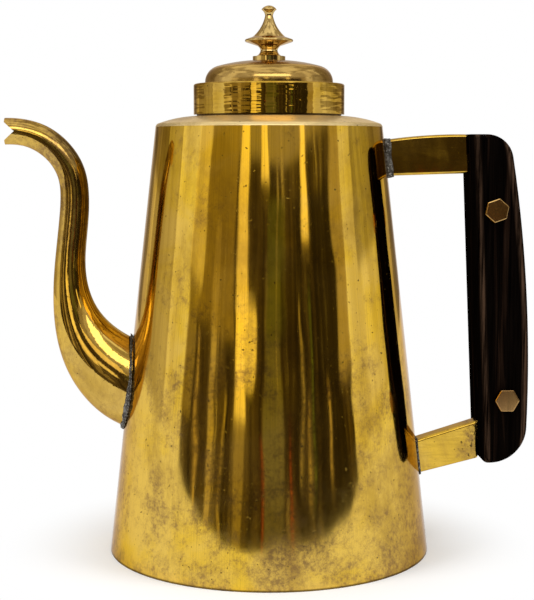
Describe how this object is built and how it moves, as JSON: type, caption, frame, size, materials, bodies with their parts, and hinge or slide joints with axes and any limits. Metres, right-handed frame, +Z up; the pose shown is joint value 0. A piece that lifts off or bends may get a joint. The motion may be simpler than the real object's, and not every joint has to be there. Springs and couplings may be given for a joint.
{
  "type": "brass coffee pot",
  "caption": "Tapered sheet-brass coffee pot with a tall swan-neck spout, a lift-off domed lid with a turned finial, and a dark wooden side grip bolted to brass brackets.",
  "frame": {"origin": "centre of the flat underside of the base, on the axis of the body", "axes": "+Z up along the body's axis, -X towards the spout, +X towards the grip, -Y towards the side with the bolt heads that the picture shows"},
  "size_m": [0.2419, 0.15, 0.2529],
  "materials": {
    "sheet_brass": "polished sheet brass with a worn, tarnished patina",
    "cast_brass": "cast and filed brass, polished",
    "bolt_brass": "dull brass hardware",
    "solder": null,
    "dark_wood": "near-black waxed hardwood with fine grain"
  },
  "bodies": {
    "pot": {"body_wall": "sheet_brass", "base_plate": "sheet_brass", "shoulder_ring": "sheet_brass", "neck_collar": "sheet_brass", "spout": "sheet_brass", "spout_solder": "solder", "upper_bracket": "cast_brass", "lower_bracket": "cast_brass", "upper_bracket_solder": "solder", "lower_bracket_solder": "solder", "grip_front": "dark_wood", "grip_back": "dark_wood", "upper_grip_bolt": "bolt_brass", "lower_grip_bolt": "bolt_brass", "upper_grip_washer": "bolt_brass", "lower_grip_washer": "bolt_brass", "upper_grip_nut": "bolt_brass", "lower_grip_nut": "bolt_brass"},
    "lid": {"lid_band": "sheet_brass", "lid_dome": "sheet_brass", "finial": "cast_brass", "finial_washer": "bolt_brass", "finial_nut": "bolt_brass"}
  },
  "joints": [
    {"name": "lid_lift", "type": "slide", "parent": "pot", "child": "lid", "axis": [0, 0, 1], "range_m": [0, 0.08]}
  ]
}
